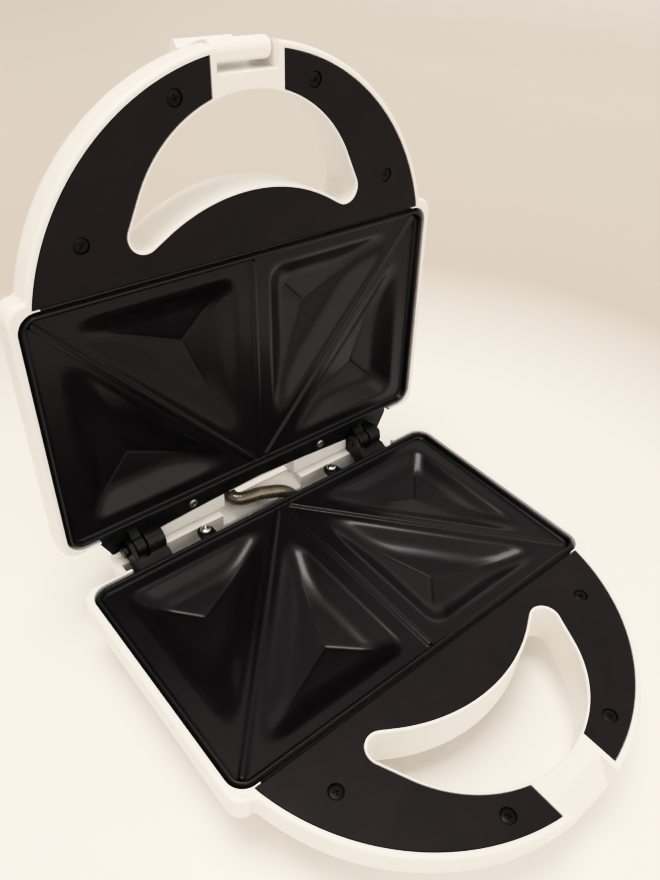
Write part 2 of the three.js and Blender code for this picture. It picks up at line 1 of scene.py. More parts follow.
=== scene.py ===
"""Looks for the open sandwich toaster: smooth shells, plates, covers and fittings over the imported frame.

Every piece is drawn in the toaster's half frame in millimetres: x to the right, f forward from the
cooking area's back edge towards the handle, n out of the cooking face. The lid is the base turned over.
"""

import math

import bmesh
import bpy
import numpy as np
from mathutils import Matrix, Vector


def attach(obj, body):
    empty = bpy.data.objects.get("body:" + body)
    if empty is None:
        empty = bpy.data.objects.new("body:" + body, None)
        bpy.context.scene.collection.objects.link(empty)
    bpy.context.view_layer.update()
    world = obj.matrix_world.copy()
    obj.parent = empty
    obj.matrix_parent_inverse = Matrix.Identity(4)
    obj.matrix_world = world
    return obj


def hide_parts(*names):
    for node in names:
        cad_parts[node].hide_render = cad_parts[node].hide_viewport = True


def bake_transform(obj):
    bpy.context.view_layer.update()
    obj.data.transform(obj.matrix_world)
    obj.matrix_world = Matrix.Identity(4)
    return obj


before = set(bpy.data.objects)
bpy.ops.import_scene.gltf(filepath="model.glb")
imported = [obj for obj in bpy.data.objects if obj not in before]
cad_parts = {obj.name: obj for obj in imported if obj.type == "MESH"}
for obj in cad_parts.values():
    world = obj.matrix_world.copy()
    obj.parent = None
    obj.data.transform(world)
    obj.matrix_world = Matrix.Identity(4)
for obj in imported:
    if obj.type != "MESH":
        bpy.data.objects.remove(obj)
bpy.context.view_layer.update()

# ---------------------------------------------------------------- dimensions, as in the CAD

PAD_HEIGHT = 44
PAD_GAP = 7
OPEN_ANGLE = math.radians(94.7)
HINGE_BACK = 15.5
FRAME_Y = 74.83
AXIS_N = PAD_GAP / 2
HANDLE_F, HANDLE_R = 106, 119.5
BODY_HALF, BODY_FRONT, BODY_BACK = 125, 136, -4
LIP_TOP = 3.3
PLATE_HALF, PLATE_FRONT, PLATE_BACK, PLATE_CORNER = 121, 131.3, -1.5, 9
FLANGE = 3.2
CELL_HALF, CELL_FRONT = 119, 130
MARGIN_SIDE, MARGIN_BACK, MARGIN_MIDDLE, MARGIN_FRONT, MARGIN_DIAGONAL = 13, 10, 11, 10, 6
COVER_R, COVER_BACK, COVER_BOTTOM, COVER_TOP = 116.2, 132.6, 0.7, 3.1
BLOCK_HALF = 19.6
COVER_SCREWS = [(-87.5, 154.5), (-37.5, 206.3), (37.5, 206.3), (87.5, 154.5)]
PLATE_SCREWS = [(-47, -7.5), (47, -7.5)]
HUMP_HALF = 98.5
FEET = [(-74, 26), (-74, 106), (74, 106), (74, 26)]
LATCH_F, LATCH_N, LATCH_HALF, NOTCH_HALF = 220.8, -5.3, 15.7, 16.5
LAMPS, LAMP_F = (-16, 16), 92
GLAND_X, GLAND_N = 62, -20
LID_R, BASE_R, EAR_R = 6.2, 7, 5.5
BORE_R, PIN_R, PIN_HEAD_R = 2.5, 2.2, 3.5
HINGES = {
    "left": {
        "ear": (-91.2, -88.8), "lid": (-88.2, -82.3), "base": (-81.7, -71.2),
        "pin": (-91.8, -69.6), "head": (-94.6, -91.5),
    },
    "right": {
        "ear": (70.6, 72.8), "lid": (73.4, 81.2), "base": (81.8, 90.5),
        "pin": (69.8, 91.2), "head": (90.8, 93.8),
    },
}
CONDUIT_R = 4.5

# ---------------------------------------------------------------- the looks' own dimensions

# The conduit's centre line. Its bend runs up to 2.4 mm from the CAD's.
CONDUIT = [
    (-24, -43, 19), (-21.8, -38, 12.8), (-19.8, -33, 7.6), (-19, -29, 4.4), (-19.8, -25, 2.2),
    (-20.2, -20.8, 1), (-17.4, -17, 0.4), (-11.5, -15.2, 0.2), (-5, -14.2, 0), (1.5, -12, -0.4),
    (8, -9.8, -1.6), (13.2, -8, -4.6), (16.6, -7, -9.2), (18.4, -6.7, -14.6), (19.2, -6.6, -20.5),
    (19.2, -6.6, -27),
]

FACE_INSET, FACE_STEP, CASTING = 4.2, 6, 2.2
POCKET_WALL, POCKET_DEEPEST, FACET_SLOPE = 0.78, 9.6, 0.115
POCKET_MOUTH, POCKET_FOOT, POCKET_CORNERS = 1.5, 3.0, (9, 15)
REAR_APEX, FRONT_APEX = (77.4, 38), (39, 90.2)
CREASE, CREASE_WIDTH = 0.25, 0.15
RIDGE_HALF, RIDGE_END, RIDGE_TOP, RIDGE_SLOPE = 2.0, 1.5, 1.5, 1.2
SCREW_RECESS, SCREW_RECESS_R, SCREW_HOLE_R = 1.5, 3.75, 1.9
# Each screw's head radius and height, shank radius and length.
COVER_SCREW = (3.45, 1.05, 1.5, 10)
PLATE_SCREW = {"base": (3.2, 2.2, 1.6, 12), "lid": (2.7, 1.6, 1.6, 12)}
TAB_R = 4.8

MM = Matrix.Scale(0.001, 4)
BASE = MM @ Matrix.Translation((0, FRAME_Y, PAD_HEIGHT))
LID = (
    MM
    @ Matrix.Translation((0, FRAME_Y + HINGE_BACK, PAD_HEIGHT + AXIS_N))
    @ Matrix.Rotation(-OPEN_ANGLE, 4, "X")
    @ Matrix.Translation((0, -HINGE_BACK, AXIS_N))
    @ Matrix.Rotation(math.pi, 4, "Y")
)
HALVES = {"base": BASE, "lid": LID}

# ---------------------------------------------------------------- camera

scene = bpy.context.scene
camera_data = bpy.data.cameras.new("camera")
camera_data.lens = 30.97
camera_data.sensor_width = 36
camera_data.clip_end = 50
camera = bpy.data.objects.new("camera", camera_data)
scene.collection.objects.link(camera)
look = Vector((0.53807, 0.56578, -0.62480)).normalized()
right = look.cross(Vector((0.35882, 0.51698, 0.77716))).normalized()
upward = right.cross(look)
axes = Matrix((right, upward, -look)).transposed().to_4x4()
place = (-0.20693, -0.25591 + FRAME_Y / 1000, 0.31468 + PAD_HEIGHT / 1000)
camera.matrix_world = Matrix.Translation(place) @ axes
scene.camera = camera

# ---------------------------------------------------------------- outlines


def arc(x, f, r, start, end, steps):
    """Points of an arc about (x, f): 0 degrees points forward, 90 degrees to the right."""
    turns = [math.radians(start + (end - start) * i / steps) for i in range(steps + 1)]
    return [(x + r * math.sin(a), f + r * math.cos(a)) for a in turns]


def round_rectangle(half, back, front, corner, steps):
    return (
        arc(half - corner, front - corner, corner, 0, 90, steps)
        + arc(half - corner, back + corner, corner, 90, 180, steps)
        + arc(-half + corner, back + corner, corner, 180, 270, steps)
        + arc(-half + corner, front - corner, corner, 270, 360, steps)
    )


def shell_outline(inset):
    """The outer edge: the handle's arc, a small fillet at each shoulder, and the square body."""
    r = HANDLE_R - inset
    front, half = BODY_FRONT - inset, BODY_HALF - inset
    corner = max(8.5 - inset * 0.8, 2)
    fillet = 2.2 + inset * 0.3
    # A circle of the fillet's radius touches the arc from outside and the front edge from the front.
    rise = front + fillet - HANDLE_F
    across = math.sqrt((r + fillet) ** 2 - rise**2)
    reach = math.degrees(math.atan2(across, rise))
    return (
        arc(0, HANDLE_F, r, -reach, reach, 96)
        + arc(across, front + fillet, fillet, 180 + reach, 180, 6)
        + arc(half - corner, front - corner, corner, 0, 90, 10)
        + arc(half - corner, BODY_BACK + inset + corner, corner, 90, 180, 10)
        + arc(-half + corner, BODY_BACK + inset + corner, corner, 180, 270, 10)
        + arc(-half + corner, front - corner, corner, 270, 360, 10)
        + arc(-across, front + fillet, fillet, 180, 180 - reach, 6)
    )


def plate_outline(grow):
    return round_rectangle(PLATE_HALF + grow, PLATE_BACK - grow, PLATE_FRONT + grow, PLATE_CORNER + grow, 12)


def crescent(inset):
    """The finger opening's outline, drawn in by inset."""
    lobe = 8.4 - inset
    return (
        arc(0, 140.8, 66.2 - inset, -62, 62, 56)
        + arc(58.6, 152.4, lobe, 66, 212, 20)
        + arc(0, 67.5, 94.5 + inset, 31, -31, 40)
        + arc(-58.6, 152.4, lobe, 148, 294, 20)
    )


def cover_outline(inset):
    r = COVER_R - inset
    reach = math.degrees(math.acos((COVER_BACK + inset - HANDLE_F) / r))
    return arc(0, HANDLE_F, r, -reach, reach, 96)


# ---------------------------------------------------------------- meshes


def new_object(name, mesh):
    made = bpy.data.objects.new(name, mesh)
    scene.collection.objects.link(made)
    return made


def loft(rings, closed=True):
    """A solid through rings of (x, f, n) points that all have the same count."""
    count = len(rings[0])
    mesh = bpy.data.meshes.new("loft")
    points = [(x, -f, n) for ring in rings for x, f, n in ring]
    faces = []
    for k in range(len(rings) - 1):
        for i in range(count):
            j = (i + 1) % count
            faces.append((k * count + i, k * count + j, (k + 1) * count + j, (k + 1) * count + i))
    if closed:
        faces.append(tuple(range(count))[::-1])
        faces.append(tuple((len(rings) - 1) * count + i for i in range(count)))
    mesh.from_pydata(points, [], faces)
    bm = bmesh.new()
    bm.from_mesh(mesh)
    bmesh.ops.remove_doubles(bm, verts=bm.verts, dist=1e-4)
    bmesh.ops.recalc_face_normals(bm, faces=bm.faces)
    bm.to_mesh(mesh)
    bm.free()
    return new_object("loft", mesh)


def levels(outline, steps):
    """Rings of an outline function at (inset, n) steps."""
    return [[(x, f, n) for x, f in outline(inset)] for inset, n in steps]


def prism(outline, low, high):
    return loft([[(x, f, low) for x, f in outline], [(x, f, high) for x, f in outline]])


def box(x0, x1, f0, f1, low, high):
    return prism([(x0, f0), (x1, f0), (x1, f1), (x0, f1)], low, high)


def along_x(outline, x0, x1):
    """A prism of (f, n) points that runs along x."""
    return loft([[(x0, f, n) for f, n in outline], [(x1, f, n) for f, n in outline]])


def rod(f, n, r, x0, x1, sides=40):
    return along_x([(p, q) for p, q in arc(f, n, r, 0, 360 - 360 / sides, sides - 1)], x0, x1)


def rounded_rod(f, n, x0, x1, r, soft, sides=48):
    """A rod along x with rounded ends."""
    quarter = [(soft * (1 - math.cos(a)), soft * (1 - math.sin(a))) for a in np.linspace(0, math.pi / 2, 7)]
    ends = [(x0 + along, r - drop) for drop, along in reversed(quarter)]
    ends += [(x1 - along, r - drop) for drop, along in quarter]
    return loft([[(x, f + r2 * c, n + r2 * s) for c, s in circle(sides)] for x, r2 in ends])


def circle(sides):
    return [(math.cos(2 * math.pi * i / sides), math.sin(2 * math.pi * i / sides)) for i in range(sides)]


def turned(profile, x, f, sides=48):
    """A body of revolution about an upright line, from (radius, n) points."""
    return loft([[(x + r * c, f + r * s, n) for c, s in circle(sides)] for r, n in profile])


def combine(target, operation, *tools):
    """Applies one boolean operation with each tool in turn, and removes the tools."""
    for tool in tools:
        step = target.modifiers.new("step", "BOOLEAN")
        step.operation = operation
        step.solver = "MANIFOLD"
        step.object = tool
        apply_modifiers(target)
        bpy.data.objects.remove(tool)
    return target


def join(target, *tools):
    return combine(target, "UNION", *tools)


def cut(target, *tools):
    return combine(target, "DIFFERENCE", *tools)


def apply_modifiers(target):
    bpy.context.view_layer.update()
    graph = bpy.context.evaluated_depsgraph_get()
    mesh = bpy.data.meshes.new_from_object(target.evaluated_get(graph))
    target.modifiers.clear()
    target.data = mesh


def soften(target, width, angle=32, segments=3, where=None):
    """Rounds every edge sharper than angle that where accepts."""
    bm = bmesh.new()
    bm.from_mesh(target.data)
    bmesh.ops.remove_doubles(bm, verts=bm.verts, dist=0.01)
    bmesh.ops.dissolve_limit(bm, angle_limit=math.radians(0.5), verts=bm.verts, edges=bm.edges)
    sharp = [
        e
        for e in bm.edges
        if len(e.link_faces) == 2
        and e.calc_face_angle(0) > math.radians(angle)
        and (where is None or where(*((e.verts[0].co + e.verts[1].co) / 2)))
    ]
    bmesh.ops.bevel(
        bm, geom=sharp, offset=width, segments=segments, profile=0.5, affect="EDGES", clamp_overlap=True
    )
    bm.to_mesh(target.data)
    bm.free()
    return target


def finish_piece(target, name, half, material, replaces, body=None, smooth=38):
    """Names a piece, moves it from its half frame to the toaster, shades it and ties it to its body."""
    target.name = name
    target.data.name = name
    target.data.transform(HALVES[half])
    target.data.shade_smooth()
    target.data.set_sharp_from_angle(angle=math.radians(smooth))
    weigh = target.modifiers.new("weigh", "WEIGHTED_NORMAL")
    weigh.keep_sharp = True
    apply_modifiers(target)
    target.data.materials.clear()
    target.data.materials.append(material)
    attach(target, body or half)
    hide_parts(*replaces)


# ---------------------------------------------------------------- materials


class Material:
    """A Principled material whose sockets are fed by procedural nodes."""

    def __init__(self, name, **values):
        self.made = bpy.data.materials.new(name)
        self.made.use_nodes = True
        self.tree = self.made.node_tree
        self.shader = self.tree.nodes["Principled BSDF"]
        for key, value in values.items():
            self.shader.inputs[key.replace("_", " ")].default_value = value
        self.place = self.tree.nodes.new("ShaderNodeTexCoord").outputs["Object"]

    def node(self, kind, inputs=None, **settings):
        made = self.tree.nodes.new(kind)
        for key, value in settings.items():
            setattr(made, key, value)
        for key, value in (inputs or {}).items():
            if isinstance(value, bpy.types.NodeSocket):
                self.tree.links.new(value, made.inputs[key])
            else:
                made.inputs[key].default_value = value
        return made

    def noise(self, scale, detail=4, rough=0.55, stretch=None, distortion=0):
        place = self.place
        if stretch:
            place = self.node("ShaderNodeMapping", {"Vector": place, "Scale": stretch}).outputs[0]
        inputs = {"Vector": place, "Scale": scale, "Detail": detail}
        inputs |= {"Roughness": rough, "Distortion": distortion}
        return self.node("ShaderNodeTexNoise", inputs).outputs["Fac"]

    def ramp(self, source, stops):
        made = self.node("ShaderNodeValToRGB", {"Fac": source})
        ramp = made.color_ramp
        while len(ramp.elements) < len(stops):
            ramp.elements.new(0.5)
        for element, (at, colour) in zip(ramp.elements, stops):
            element.position = at
            element.color = colour if isinstance(colour, tuple) else (colour, colour, colour, 1)
        return made.outputs["Color"]

    def spread(self, source, low, high, to_low, to_high):
        inputs = {0: source, 1: low, 2: high, 3: to_low, 4: to_high}
        return self.node("ShaderNodeMapRange", inputs).outputs[0]

    def math(self, operation, a, b=0.0):
        return self.node("ShaderNodeMath", {0: a, 1: b}, operation=operation).outputs[0]

    def mix(self, factor, a, b):
        return self.node("ShaderNodeMix", {0: factor, 6: a, 7: b}, data_type="RGBA").outputs[2]

    def bump(self, height, strength, distance, normal=None):
        inputs = {"Height": height, "Strength": strength, "Distance": distance}
        if normal:
            inputs["Normal"] = normal
        return self.node("ShaderNodeBump", inputs).outputs["Normal"]

    def set(self, **sockets):
        for key, value in sockets.items():
            self.tree.links.new(value, self.shader.inputs[key.replace("_", " ")])
        return self.made


def rgb(r, g, b):
    return (r, g, b, 1)


def shell_material():
    """Warm white moulded plastic: an even satin skin, faint clouding and a few rubbed marks."""
    m = Material("shell_plastic", IOR=1.48, Subsurface_Weight=0.06, Subsurface_Scale=0.004, Coat_Weight=0.12)
    m.shader.inputs["Subsurface Radius"].default_value = (1.0, 0.7, 0.45)
    cloud = m.noise(14, 3)
    marks = m.noise(60, 6, 0.65, distortion=0.6)
    tint = m.ramp(cloud, [(0.3, rgb(0.855, 0.83, 0.79)), (0.7, rgb(0.88, 0.86, 0.825))])
    rubbed = m.spread(marks, 0.64, 0.82, 0, 0.12)
    colour = m.mix(rubbed, tint, rgb(0.70, 0.66, 0.60))
    rough = m.spread(m.noise(90, 5), 0.3, 0.7, 0.30, 0.42)
    skin = m.bump(m.noise(2600, 2), 0.10, 0.0002)
    flow = m.bump(m.noise(35, 2), 0.10, 0.0012, skin)
    return m.set(Base_Color=colour, Roughness=rough, Normal=flow)


def nonstick_material():
    """Satin-gloss black non-stick coating: fine orange peel, faint haze and a few dull wipes."""
    m = Material("nonstick_coating", IOR=1.5, Specular_IOR_Level=0.32, Coat_Weight=0.2, Coat_Roughness=0.15)
    m.shader.inputs["Coat IOR"].default_value = 1.4
    film = m.noise(22, 4, 0.55, distortion=0.3)
    colour = m.ramp(film, [(0.35, rgb(0.0034, 0.0026, 0.0036)), (0.75, rgb(0.0056, 0.0045, 0.0052))])
    haze = m.spread(film, 0.3, 0.75, 0.28, 0.37)
    wipe = m.noise(160, 3, 0.6, distortion=0.4)
    rough = m.math("ADD", haze, m.spread(wipe, 0.55, 0.8, 0, 0.05))
    peel = m.bump(m.noise(1100, 2), 0.05, 0.0002)
    return m.set(Base_Color=colour, Roughness=rough, Normal=peel)


def cover_material():
    """Satin black-brown moulded plastic with a fine spark-eroded grain and dusty wipe marks."""
    m = Material("cover_plastic", IOR=1.5, Specular_IOR_Level=0.26)
    dust = m.noise(38, 6, 0.68, distortion=0.8)
    colour = m.ramp(dust, [(0.35, rgb(0.0088, 0.0052, 0.0056)), (0.8, rgb(0.0155, 0.0100, 0.0104))])
    rough = m.spread(m.noise(70, 5, 0.6), 0.3, 0.7, 0.42, 0.54)
    grain = m.bump(m.noise(2200, 3, 0.6), 0.16, 0.00025)
    return m.set(Base_Color=colour, Roughness=rough, Normal=grain)


def metal_material(name, colour, low, high, scratch=0.12, grain=320):
    m = Material(name, Metallic=1.0)
    patch = m.noise(90, 5, 0.6)
    dark = tuple(c * 0.72 for c in colour)
    tint = m.ramp(patch, [(0.3, rgb(*dark)), (0.65, rgb(*colour))])
    rough = m.spread(m.noise(260, 4), 0.3, 0.7, low, high)
    lines = m.bump(m.noise(grain, 4, 0.6, stretch=(1, 7, 7)), scratch, 0.0002)
    return m.set(Base_Color=tint, Roughness=rough, Normal=lines)


def coated_steel_material(name, gloss):
    """Black-coated pressed steel with paler rubbed patches."""
    m = Material(name, Metallic=0.3, IOR=1.5, Specular_IOR_Level=gloss * 0.5)
    worn = m.noise(130, 5, 0.65)
    colour = m.ramp(worn, [(0.45, rgb(0.006, 0.006, 0.0065)), (0.85, rgb(0.022, 0.021, 0.020))])
    rough = m.spread(m.noise(200, 4), 0.3, 0.7, 0.28, 0.46)
    skin = m.bump(m.noise(1500, 3), 0.2, 0.0003)
    return m.set(Base_Color=colour, Roughness=rough, Normal=skin)


def rubber_material():
    m = Material("rubber", IOR=1.45)
    colour = m.ramp(m.noise(120, 4), [(0.3, rgb(0.018, 0.018, 0.018)), (0.7, rgb(0.034, 0.033, 0.032))])
    rough = m.spread(m.noise(160, 4), 0.3, 0.7, 0.68, 0.85)
    return m.set(Base_Color=colour, Roughness=rough, Normal=m.bump(m.noise(1800, 3), 0.3, 0.0003))


def ceramic_material():
    m = Material("ceramic", IOR=1.55)
    colour = m.ramp(m.noise(80, 4), [(0.3, rgb(0.70, 0.66, 0.56)), (0.7, rgb(0.80, 0.77, 0.68))])
    rough = m.spread(m.noise(140, 4), 0.3, 0.7, 0.22, 0.4)
    return m.set(Base_Color=colour, Roughness=rough, Normal=m.bump(m.noise(900, 3), 0.15, 0.0003))


def lens_material(name, colour):
    m = Material(name, IOR=1.5, Transmission_Weight=0.35, Coat_Weight=0.5)
    dark = tuple(c * 0.6 for c in colour)
    tint = m.ramp(m.noise(150, 3), [(0.3, rgb(*dark)), (0.7, rgb(*colour))])
    rough = m.spread(m.noise(200, 3), 0.3, 0.7, 0.08, 0.2)
    prisms = m.node("ShaderNodeTexVoronoi", {"Vector": m.place, "Scale": 900}).outputs["Distance"]
    return m.set(Base_Color=tint, Roughness=rough, Normal=m.bump(prisms, 0.3, 0.0003))


def glass_material():
    m = Material("lamp_glass", IOR=1.5, Transmission_Weight=0.95)
    tint = m.ramp(m.noise(60, 3), [(0.3, rgb(0.86, 0.90, 0.92)), (0.7, rgb(0.94, 0.96, 0.97))])
    rough = m.spread(m.noise(100, 3), 0.3, 0.7, 0.02, 0.08)
    return m.set(Base_Color=tint, Roughness=rough, Normal=m.bump(m.noise(500, 2), 0.05, 0.0002))


def braid_material():
    """A woven glass-fibre sleeve: two sets of threads that cross round the tube."""
    m = Material("braid", Metallic=0.6, IOR=1.5, Coat_Weight=0.35, Coat_Roughness=0.25)
    uv = m.node("ShaderNodeUVMap", uv_map="along").outputs["UV"]
    split = m.node("ShaderNodeSeparateXYZ", {0: uv})
    waves = []
    for slant in (130, -130):
        around = m.math("MULTIPLY", split.outputs[0], 5)
        phase = m.math("ADD", around, m.math("MULTIPLY", split.outputs[1], slant))
        waves.append(m.math("SINE", m.math("MULTIPLY", phase, 2 * math.pi)))
    threads = m.math("MAXIMUM", *waves)
    dirt = m.noise(70, 3, 0.5)
    shade = m.math("ADD", m.math("MULTIPLY", threads, 0.1), dirt)
    colour = m.ramp(
        shade, [(0.3, rgb(0.09, 0.073, 0.056)), (0.6, rgb(0.17, 0.144, 0.112)), (0.9, rgb(0.27, 0.238, 0.195))]
    )
    rough = m.spread(dirt, 0.3, 0.7, 0.22, 0.32)
    fibres = m.bump(m.noise(2400, 3), 0.04, 0.0001, m.bump(threads, 0.1, 0.0001))
    return m.set(Base_Color=colour, Roughness=rough, Normal=fibres)


SHELL = shell_material()
NONSTICK = nonstick_material()
COVER = cover_material()
HINGE = coated_steel_material("hinge_coating", 0.9)
SCREW_BLACK = coated_steel_material("black_screw", 0.5)
ZINC = metal_material("zinc_screw", (0.72, 0.71, 0.68), 0.22, 0.38)
STEEL = metal_material("steel", (0.52, 0.51, 0.49), 0.25, 0.42)
PIN = metal_material("dark_pin", (0.045, 0.042, 0.04), 0.3, 0.45)
# A darker copy of the zinc for the lid's screws: painted shade, since they sit in shadow under the lid's
# flange.
SHADED_ZINC = metal_material("zinc_screw_painted_shade", (0.42, 0.40, 0.36), 0.3, 0.48)
SHEATH = metal_material("element_sheath", (0.30, 0.28, 0.27), 0.35, 0.55, 0.25)
RUBBER = rubber_material()
CERAMIC = ceramic_material()
BRAID = braid_material()
RED = lens_material("lens_red", (0.62, 0.03, 0.02))
GREEN = lens_material("lens_green", (0.05, 0.42, 0.08))
GLASS = glass_material()

# ---------------------------------------------------------------- shells


def mouth_cutter(outline, inset, floor, top, radius, under=None):
    """A cutter with straight walls and a rounded mouth, and with under a broader rounded one below."""
    quarter = [
        (radius * (1 - math.cos(a)), radius * (1 - math.sin(a))) for a in np.linspace(0, math.pi / 2, 7)
    ]
    if under is None:
        steps = [(inset, floor)]
    else:
        steps = [(inset - radius * 2.4, under - 4)]
        steps += [(inset - grow * 1.6, under + drop * 1.6) for grow, drop in reversed(quarter)]
    steps += [(inset - grow, top - drop) for grow, drop in quarter]
    steps.append((inset - radius - 0.6, top + 2))
    return loft(levels(outline, steps))


def slab():
    """The shallow part of a shell, handle and all, from its lip down."""
    edge = [
        (1.8, LIP_TOP), (1.25, 3.22), (0.75, 3.0), (0.35, 2.6), (0.1, 2.05), (0, 1.3), (0.05, -3), (0.3, -8),
        (0.75, -11), (1.6, -13.3), (2.9, -15.3), (4.6, -17.1), (6.7, -18.8), (9.2, -20.3), (12, -21.3),
        (15, -21.8), (18, -22),
    ]
    return loft(levels(shell_outline, edge))


def bowl():
    """The deep body under the plate."""
    draws = [
        (1.5, 0.2), (0.3, -4), (0.55, -7.5), (1.3, -11), (2.6, -14.2), (4.4, -17.4), (6.7, -20.6), (9.2, -23.8),
        (11.9, -27), (14.8, -30.2), (18, -33.2), (21.4, -36), (25, -38.2), (29, -39.5), (33.5, -40),
    ]

    def outline(draw):
        back, front = BODY_BACK + draw * 0.8, BODY_FRONT - draw * 0.9
        return round_rectangle(BODY_HALF - draw, back, front, 8 + draw * 0.5, 12)

    return loft(levels(outline, draws))


def hump(back, top):
    """The housing along the back, where the hinges sit."""
    edge = [(1.7, 0), (1.0, -0.15), (0.45, -0.5), (0.1, -1.1), (0, -1.8)]
    steps = [(draw, top + drop) for draw, drop in edge]
    steps += [(0.8, -20), (1.6, -27), (2.6, -30), (4.4, -32), (7, -33)]

    def outline(draw):
        return round_rectangle(HUMP_HALF - draw, back + draw, 22, 4.5 + draw * 0.3, 8)

    return loft(levels(outline, steps))


def chamber():
    """The hollow inside a shell, under the plate."""
    draws = [(6.5, 2), (6.5, -8), (8, -14), (13, -21), (19, -28), (26, -34), (34, -37)]

    def outline(draw):
        front = BODY_FRONT - draw
        return round_rectangle(BODY_HALF - draw, -5.2 + draw * 0.75, front, 6 + draw * 0.4, 8)

    return loft(levels(outline, draws))


def shell(back, top):
    """What both halves share: outer form, hollow, seats for plate and cover, opening and screw holes."""
    body = join(slab(), bowl(), hump(back, top))
    cut(body, chamber(), mouth_cutter(lambda i: plate_outline(-i), -0.3, -3.6, LIP_TOP, 0.45))
    seat = mouth_cutter(cover_outline, -0.35, 0.4, LIP_TOP, 0.45)
    cut(seat, prism(crescent(0.25), -5, 9), box(-BLOCK_HALF + 0.35, BLOCK_HALF - 0.35, 190, 240, -5, 9))
    join(seat, box(-110, 110, 129, 133, -1.8, 6))
    cut(body, seat)
    cut(body, mouth_cutter(crescent, 1.5, None, LIP_TOP, 0.9, -22))
    for x, f in COVER_SCREWS:
        cut(body, turned([(1.8, -13), (1.8, 4)], x, f, 24))
    return body


def soften_shell(body, behind):
    """Rounds the housing's edges more than behind mm back of f = 0, and those of the latch's notch."""

    def accepts(x, y, n):
        return abs(x) < 100 and y > behind or abs(x) < 17.5 and y < -205

    soften(body, 0.55, 50, 3, accepts)


def base_shell():
    body = shell(-28, -5.6)
    ramp = [(-27, -5.4), (-25.6, -5.8), (-24.4, -6.6), (-16, -14), (-15, -15), (-15, 0), (-27, 0)]
    cut(body, box(-95.7, 95.7, -15.8, 12, -27, 12), along_x(ramp, -29.5, 29.5))
    slope = [
        (214.8, 8), (214.8, 3.6), (215.0, 3.0), (223.4, -9), (224.0, -10.2), (224.2, -11.5), (224.0, -12.6),
        (223, -13.2), (219.5, -13.8), (219.5, -24), (240, -24), (240, 8),
    ]
    cut(body, along_x(slope, -NOTCH_HALF, NOTCH_HALF))
    inlet = loft([[(GLAND_X + 5.3 * c, f, GLAND_N + 5.3 * s) for c, s in circle(40)] for f in (-34, -14)])
    cut(body, inlet)
    soften_shell(body, 12)
    finish_piece(body, "base_moulding", "base", SHELL, replaces=["base_shell"])


def lid_shell():
    body = shell(-22.5, -0.8)
    for hinge in HINGES.values():
        low, high = hinge["ear"][0] - 1, hinge["base"][1] + 1
        cut(body, rod(-HINGE_BACK, AXIS_N, 9, -high, -low))
    cut(body, prism(bar_outline(0.4), -3.5, 6), box(-26, 26, -24, -12, -14, 2))
    cut(body, box(-NOTCH_HALF, NOTCH_HALF, 213, 240, -40, 12))
    for x in LAMPS:
        cut(body, turned([(4.3, -46), (4.3, -30)], x, LAMP_F, 32))
    soften_shell(body, 6)
    finish_piece(body, "lid_moulding", "lid", SHELL, replaces=["lid_shell"])


def bar_outline(grow):
    """The lid's hinge bar seen from above: deepest at its ends and narrowest in the middle."""
    back = [(-98, -18), (-69, -14.3), (-35, -12.2), (0, -10.6), (35, -12.2), (69, -14.3), (98, -18)]
    points = [(-104, -1.8), (-104, -6.5)] + back + [(104, -6.5), (104, -1.8)]
    return [(x + math.copysign(grow, x) * (x != 0), f + grow if f > -2 else f - grow) for x, f in points]


# ---------------------------------------------------------------- cooking plates


def smooth_min(a, b, k):
    """The lower of a and b, blended where they are closer than k."""
    h = np.clip(0.5 + 0.5 * (b - a) / k, 0, 1)
    return b * (1 - h) + a * h - k * h * (1 - h)


def smooth_step(t):
    t = np.clip(t, 0, 1)
    return t * t * (3 - 2 * t)


def pocket_depth(x, f, edges, apex):
    """Depth of a three-sided pocket: sloping walls with round corners, down to three shallow facets."""
    inside = [a * x + b * f - c for a, b, c in edges]
    at_apex = [a * apex[0] + b * apex[1] - c for a, b, c in edges]
    square, slanted = POCKET_CORNERS
    wall = POCKET_WALL * smooth_min(smooth_min(inside[0], inside[1], square), inside[2], slanted)
    facets = np.sort([POCKET_DEEPEST - FACET_SLOPE * (top - d) for d, top in zip(inside, at_apex)], axis=0)
    crease = CREASE * np.exp(-(((facets[1] - facets[0]) / CREASE_WIDTH) ** 2))
    return -smooth_min(-smooth_min(wall, facets[0] + crease, POCKET_FOOT), 0 * wall, POCKET_MOUTH)


def inside_ridge(x, f, start, end):
    """How far inside the outline of a sealing ridge, which has rounded ends, a point lies."""
    length = math.hypot(end[0] - start[0], end[1] - start[1])
    ux, uf = (end[0] - start[0]) / length, (end[1] - start[1]) / length
    along = (x - start[0]) * ux + (f - start[1]) * uf - length / 2
    across = np.abs(-(x - start[0]) * uf + (f - start[1]) * ux)
    past_end = np.maximum(np.abs(along) - length / 2 + RIDGE_END, 0)
    past_side = np.maximum(across - RIDGE_HALF + RIDGE_END, 0)
    return RIDGE_END - np.hypot(past_end, past_side)


def plate_height(x, f):
    """The cooking face: two pockets and a diagonal ridge on each side of a ridge down the middle."""
    side = np.abs(x)
    slant = math.hypot(CELL_HALF, CELL_FRONT)
    a, b = CELL_FRONT / slant, -CELL_HALF / slant
    rear_edges = [(0, 1, MARGIN_BACK), (-1, 0, MARGIN_SIDE - CELL_HALF), (a, b, MARGIN_DIAGONAL)]
    front_edges = [(0, -1, MARGIN_FRONT - CELL_FRONT), (1, 0, MARGIN_MIDDLE), (-a, -b, MARGIN_DIAGONAL)]
    rear = pocket_depth(side, f, rear_edges, REAR_APEX)
    front = pocket_depth(side, f, front_edges, FRONT_APEX)
    middle = inside_ridge(x, f, (0, 2.9), (0, 126.8))
    diagonal = inside_ridge(side, f, (3.8, 3.3), (115.4, 126.0))
    ridges = RIDGE_TOP * smooth_step(np.maximum(middle, diagonal) / RIDGE_SLOPE)
    return ridges - np.maximum(rear, front)


